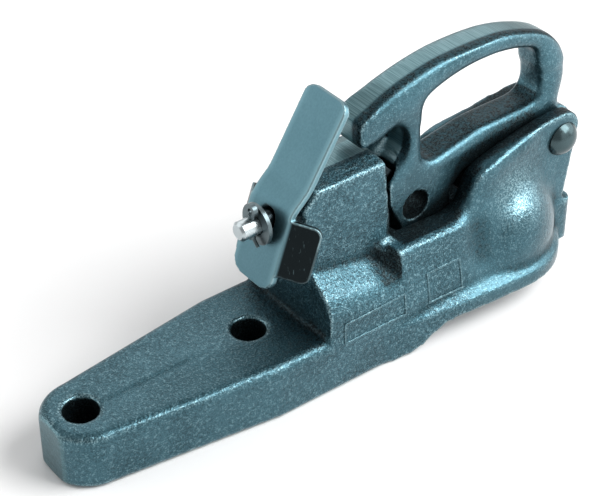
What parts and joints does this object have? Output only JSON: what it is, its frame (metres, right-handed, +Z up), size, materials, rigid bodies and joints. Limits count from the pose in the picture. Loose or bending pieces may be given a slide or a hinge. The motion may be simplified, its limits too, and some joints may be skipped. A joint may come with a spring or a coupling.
{
  "type": "trailer coupling head",
  "caption": "Cast trailer coupling head: a domed ball socket on a bolted tongue, a lifting D handle whose jaw closes behind the ball, and a sprung plunger drawn by a release plate.",
  "frame": {"origin": "midway between the two drawbar bolt holes, on the underside of the tongue", "axes": "+X along the tongue towards the nose over the ball, +Z up along the bolts, so +Y is to the left seen from the drawbar"},
  "size_m": [0.254, 0.0688, 0.1181],
  "materials": {
    "casting": "satin sand-cast, coated",
    "grip": "satin sand-cast, coated",
    "pressing": "smooth satin",
    "pin": "satin, headed",
    "zinc": "bright zinc"
  },
  "bodies": {
    "casting": {"coupling_body": "casting", "pivot_pin": "pin", "latch_spring": "zinc"},
    "handle": {"handle": "grip"},
    "latch": {"latch_plunger": "zinc", "plunger_washer": "zinc", "split_pin": "zinc"},
    "trigger": {"release_plate": "pressing"}
  },
  "joints": [
    {"name": "handle_lift", "type": "hinge", "parent": "casting", "child": "handle", "pos_m": [0.1895, 0, 0.061], "axis": [0, 1, 0], "range_deg": [0, 90]},
    {"name": "plunger_draw", "type": "slide", "parent": "casting", "child": "latch", "axis": [-1, 0, 0], "range_m": [0, 0.00735], "stiffness_N_per_m": 1900, "springref_m": -0.008, "deforming": ["latch_spring"]},
    {"name": "plate_swing", "type": "hinge", "parent": "latch", "child": "trigger", "pos_m": [0.0495, 0, 0.073], "axis": [0, -1, 0], "range_deg": [0, 18]}
  ],
  "couplings": [
    {"joint": "plate_swing", "follows": "plunger_draw", "rad_per_m": 42.7}
  ]
}
